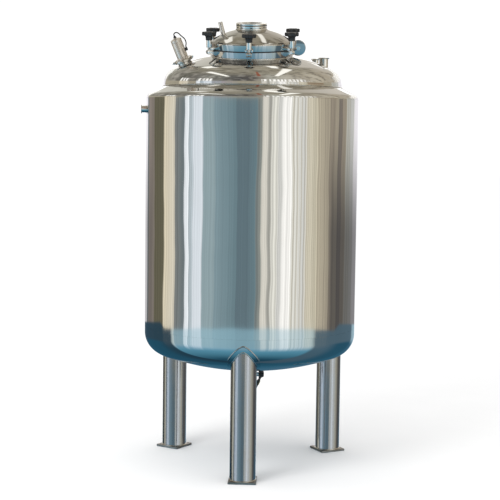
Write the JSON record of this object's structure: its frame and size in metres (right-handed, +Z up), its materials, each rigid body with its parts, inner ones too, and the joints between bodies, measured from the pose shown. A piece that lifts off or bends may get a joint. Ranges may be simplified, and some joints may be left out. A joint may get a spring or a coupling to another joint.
{
  "type": "vertical storage tank",
  "caption": "Jacketed vertical storage tank of polished stainless steel on three tubular legs, with a clamped top manhole, lamp, ferrules and a bottom butterfly valve.",
  "frame": {"origin": "on the floor, under the axis of the vessel", "axes": "+Z up along the vessel's axis, -Y to the front, where the front leg and the manhole are, +X to the right seen from the front"},
  "size_m": [1.2158, 1.1952, 2.4705],
  "materials": {
    "polished_steel": "mirror polished stainless steel",
    "satin_steel": "satin stainless steel",
    "foot_steel": "dull, scaled stainless plate",
    "black_rubber": "matt black sealing rubber",
    "black_plastic": "fine textured black plastic",
    "sight_glass": "clear toughened glass"
  },
  "bodies": {
    "tank": {"jacket_shell": "polished_steel", "jacket_closure": "polished_steel", "jacket_bottom_head": "polished_steel", "vessel_shell": "polished_steel", "vessel_bottom_head": "polished_steel", "top_head": "polished_steel", "manhole_neck": "polished_steel", "manhole_gasket": "black_rubber", "manhole_lid": "polished_steel", "lid_grip": "polished_steel", "sight_glass_base": "polished_steel", "sight_glass_pane": "sight_glass", "sight_glass_rim": "polished_steel", "hinge_cheek_front": "polished_steel", "hinge_cheek_back": "polished_steel", "hinge_pin": "polished_steel", "lamp_socket": "polished_steel", "lamp_clamp": "polished_steel", "lamp_housing": "satin_steel", "lamp_gland": "black_plastic", "lamp_lead": "black_plastic", "lamp_connector": "black_plastic", "ferrule_side": "polished_steel", "ferrule_back": "polished_steel", "jacket_ferrule": "polished_steel", "leg_front": "satin_steel", "leg_right": "satin_steel", "leg_left": "satin_steel", "leg_pad_front": "satin_steel", "leg_pad_right": "satin_steel", "leg_pad_left": "satin_steel", "foot_plate_front": "foot_steel", "foot_plate_right": "foot_steel", "foot_plate_left": "foot_steel", "outlet_ferrule": "polished_steel", "valve_body": "polished_steel"},
    "bolt_1": {"swing_bolt_1": "polished_steel"},
    "bolt_2": {"swing_bolt_2": "polished_steel"},
    "bolt_3": {"swing_bolt_3": "polished_steel"},
    "bolt_4": {"swing_bolt_4": "polished_steel"},
    "bolt_5": {"swing_bolt_5": "polished_steel"},
    "bolt_6": {"swing_bolt_6": "polished_steel"},
    "knob_1": {"star_knob_1": "black_plastic"},
    "knob_2": {"star_knob_2": "black_plastic"},
    "knob_3": {"star_knob_3": "black_plastic"},
    "knob_4": {"star_knob_4": "black_plastic"},
    "knob_5": {"star_knob_5": "black_plastic"},
    "knob_6": {"star_knob_6": "black_plastic"},
    "lever": {"valve_vane": "polished_steel", "valve_lever": "black_plastic"}
  },
  "joints": [
    {"name": "bolt_1_swing", "type": "hinge", "parent": "tank", "child": "bolt_1", "pos_m": [0, -0.41113, 2.27169], "axis": [1, 0, 0], "range_deg": [0, 95]},
    {"name": "bolt_2_swing", "type": "hinge", "parent": "tank", "child": "bolt_2", "pos_m": [0.22257, -0.28421, 2.29179], "axis": [0.5, 0.8554, 0.1355], "range_deg": [0, 95]},
    {"name": "bolt_3_swing", "type": "hinge", "parent": "tank", "child": "bolt_3", "pos_m": [0.22257, -0.03038, 2.332], "axis": [-0.5, 0.8554, 0.1355], "range_deg": [0, 95]},
    {"name": "bolt_4_swing", "type": "hinge", "parent": "tank", "child": "bolt_4", "pos_m": [0, 0.09654, 2.3521], "axis": [-1, 0, 0], "range_deg": [0, 95]},
    {"name": "bolt_5_swing", "type": "hinge", "parent": "tank", "child": "bolt_5", "pos_m": [-0.22257, -0.03038, 2.332], "axis": [-0.5, -0.8554, -0.1355], "range_deg": [0, 95]},
    {"name": "bolt_6_swing", "type": "hinge", "parent": "tank", "child": "bolt_6", "pos_m": [-0.22257, -0.28421, 2.29179], "axis": [0.5, -0.8554, -0.1355], "range_deg": [0, 95]},
    {"name": "knob_1_turn", "type": "hinge", "parent": "bolt_1", "child": "knob_1", "pos_m": [0, -0.41113, 2.27169], "axis": [0, -0.1564, 0.9877], "continuous": true},
    {"name": "knob_2_turn", "type": "hinge", "parent": "bolt_2", "child": "knob_2", "pos_m": [0.22257, -0.28421, 2.29179], "axis": [0, -0.1564, 0.9877], "continuous": true},
    {"name": "knob_3_turn", "type": "hinge", "parent": "bolt_3", "child": "knob_3", "pos_m": [0.22257, -0.03038, 2.332], "axis": [0, -0.1564, 0.9877], "continuous": true},
    {"name": "knob_4_turn", "type": "hinge", "parent": "bolt_4", "child": "knob_4", "pos_m": [0, 0.09654, 2.3521], "axis": [0, -0.1564, 0.9877], "continuous": true},
    {"name": "knob_5_turn", "type": "hinge", "parent": "bolt_5", "child": "knob_5", "pos_m": [-0.22257, -0.03038, 2.332], "axis": [0, -0.1564, 0.9877], "continuous": true},
    {"name": "knob_6_turn", "type": "hinge", "parent": "bolt_6", "child": "knob_6", "pos_m": [-0.22257, -0.28421, 2.29179], "axis": [0, -0.1564, 0.9877], "continuous": true},
    {"name": "valve_turn", "type": "hinge", "parent": "tank", "child": "lever", "pos_m": [0, 0, 0.487], "axis": [1, 0, 0], "range_deg": [0, 90]}
  ]
}
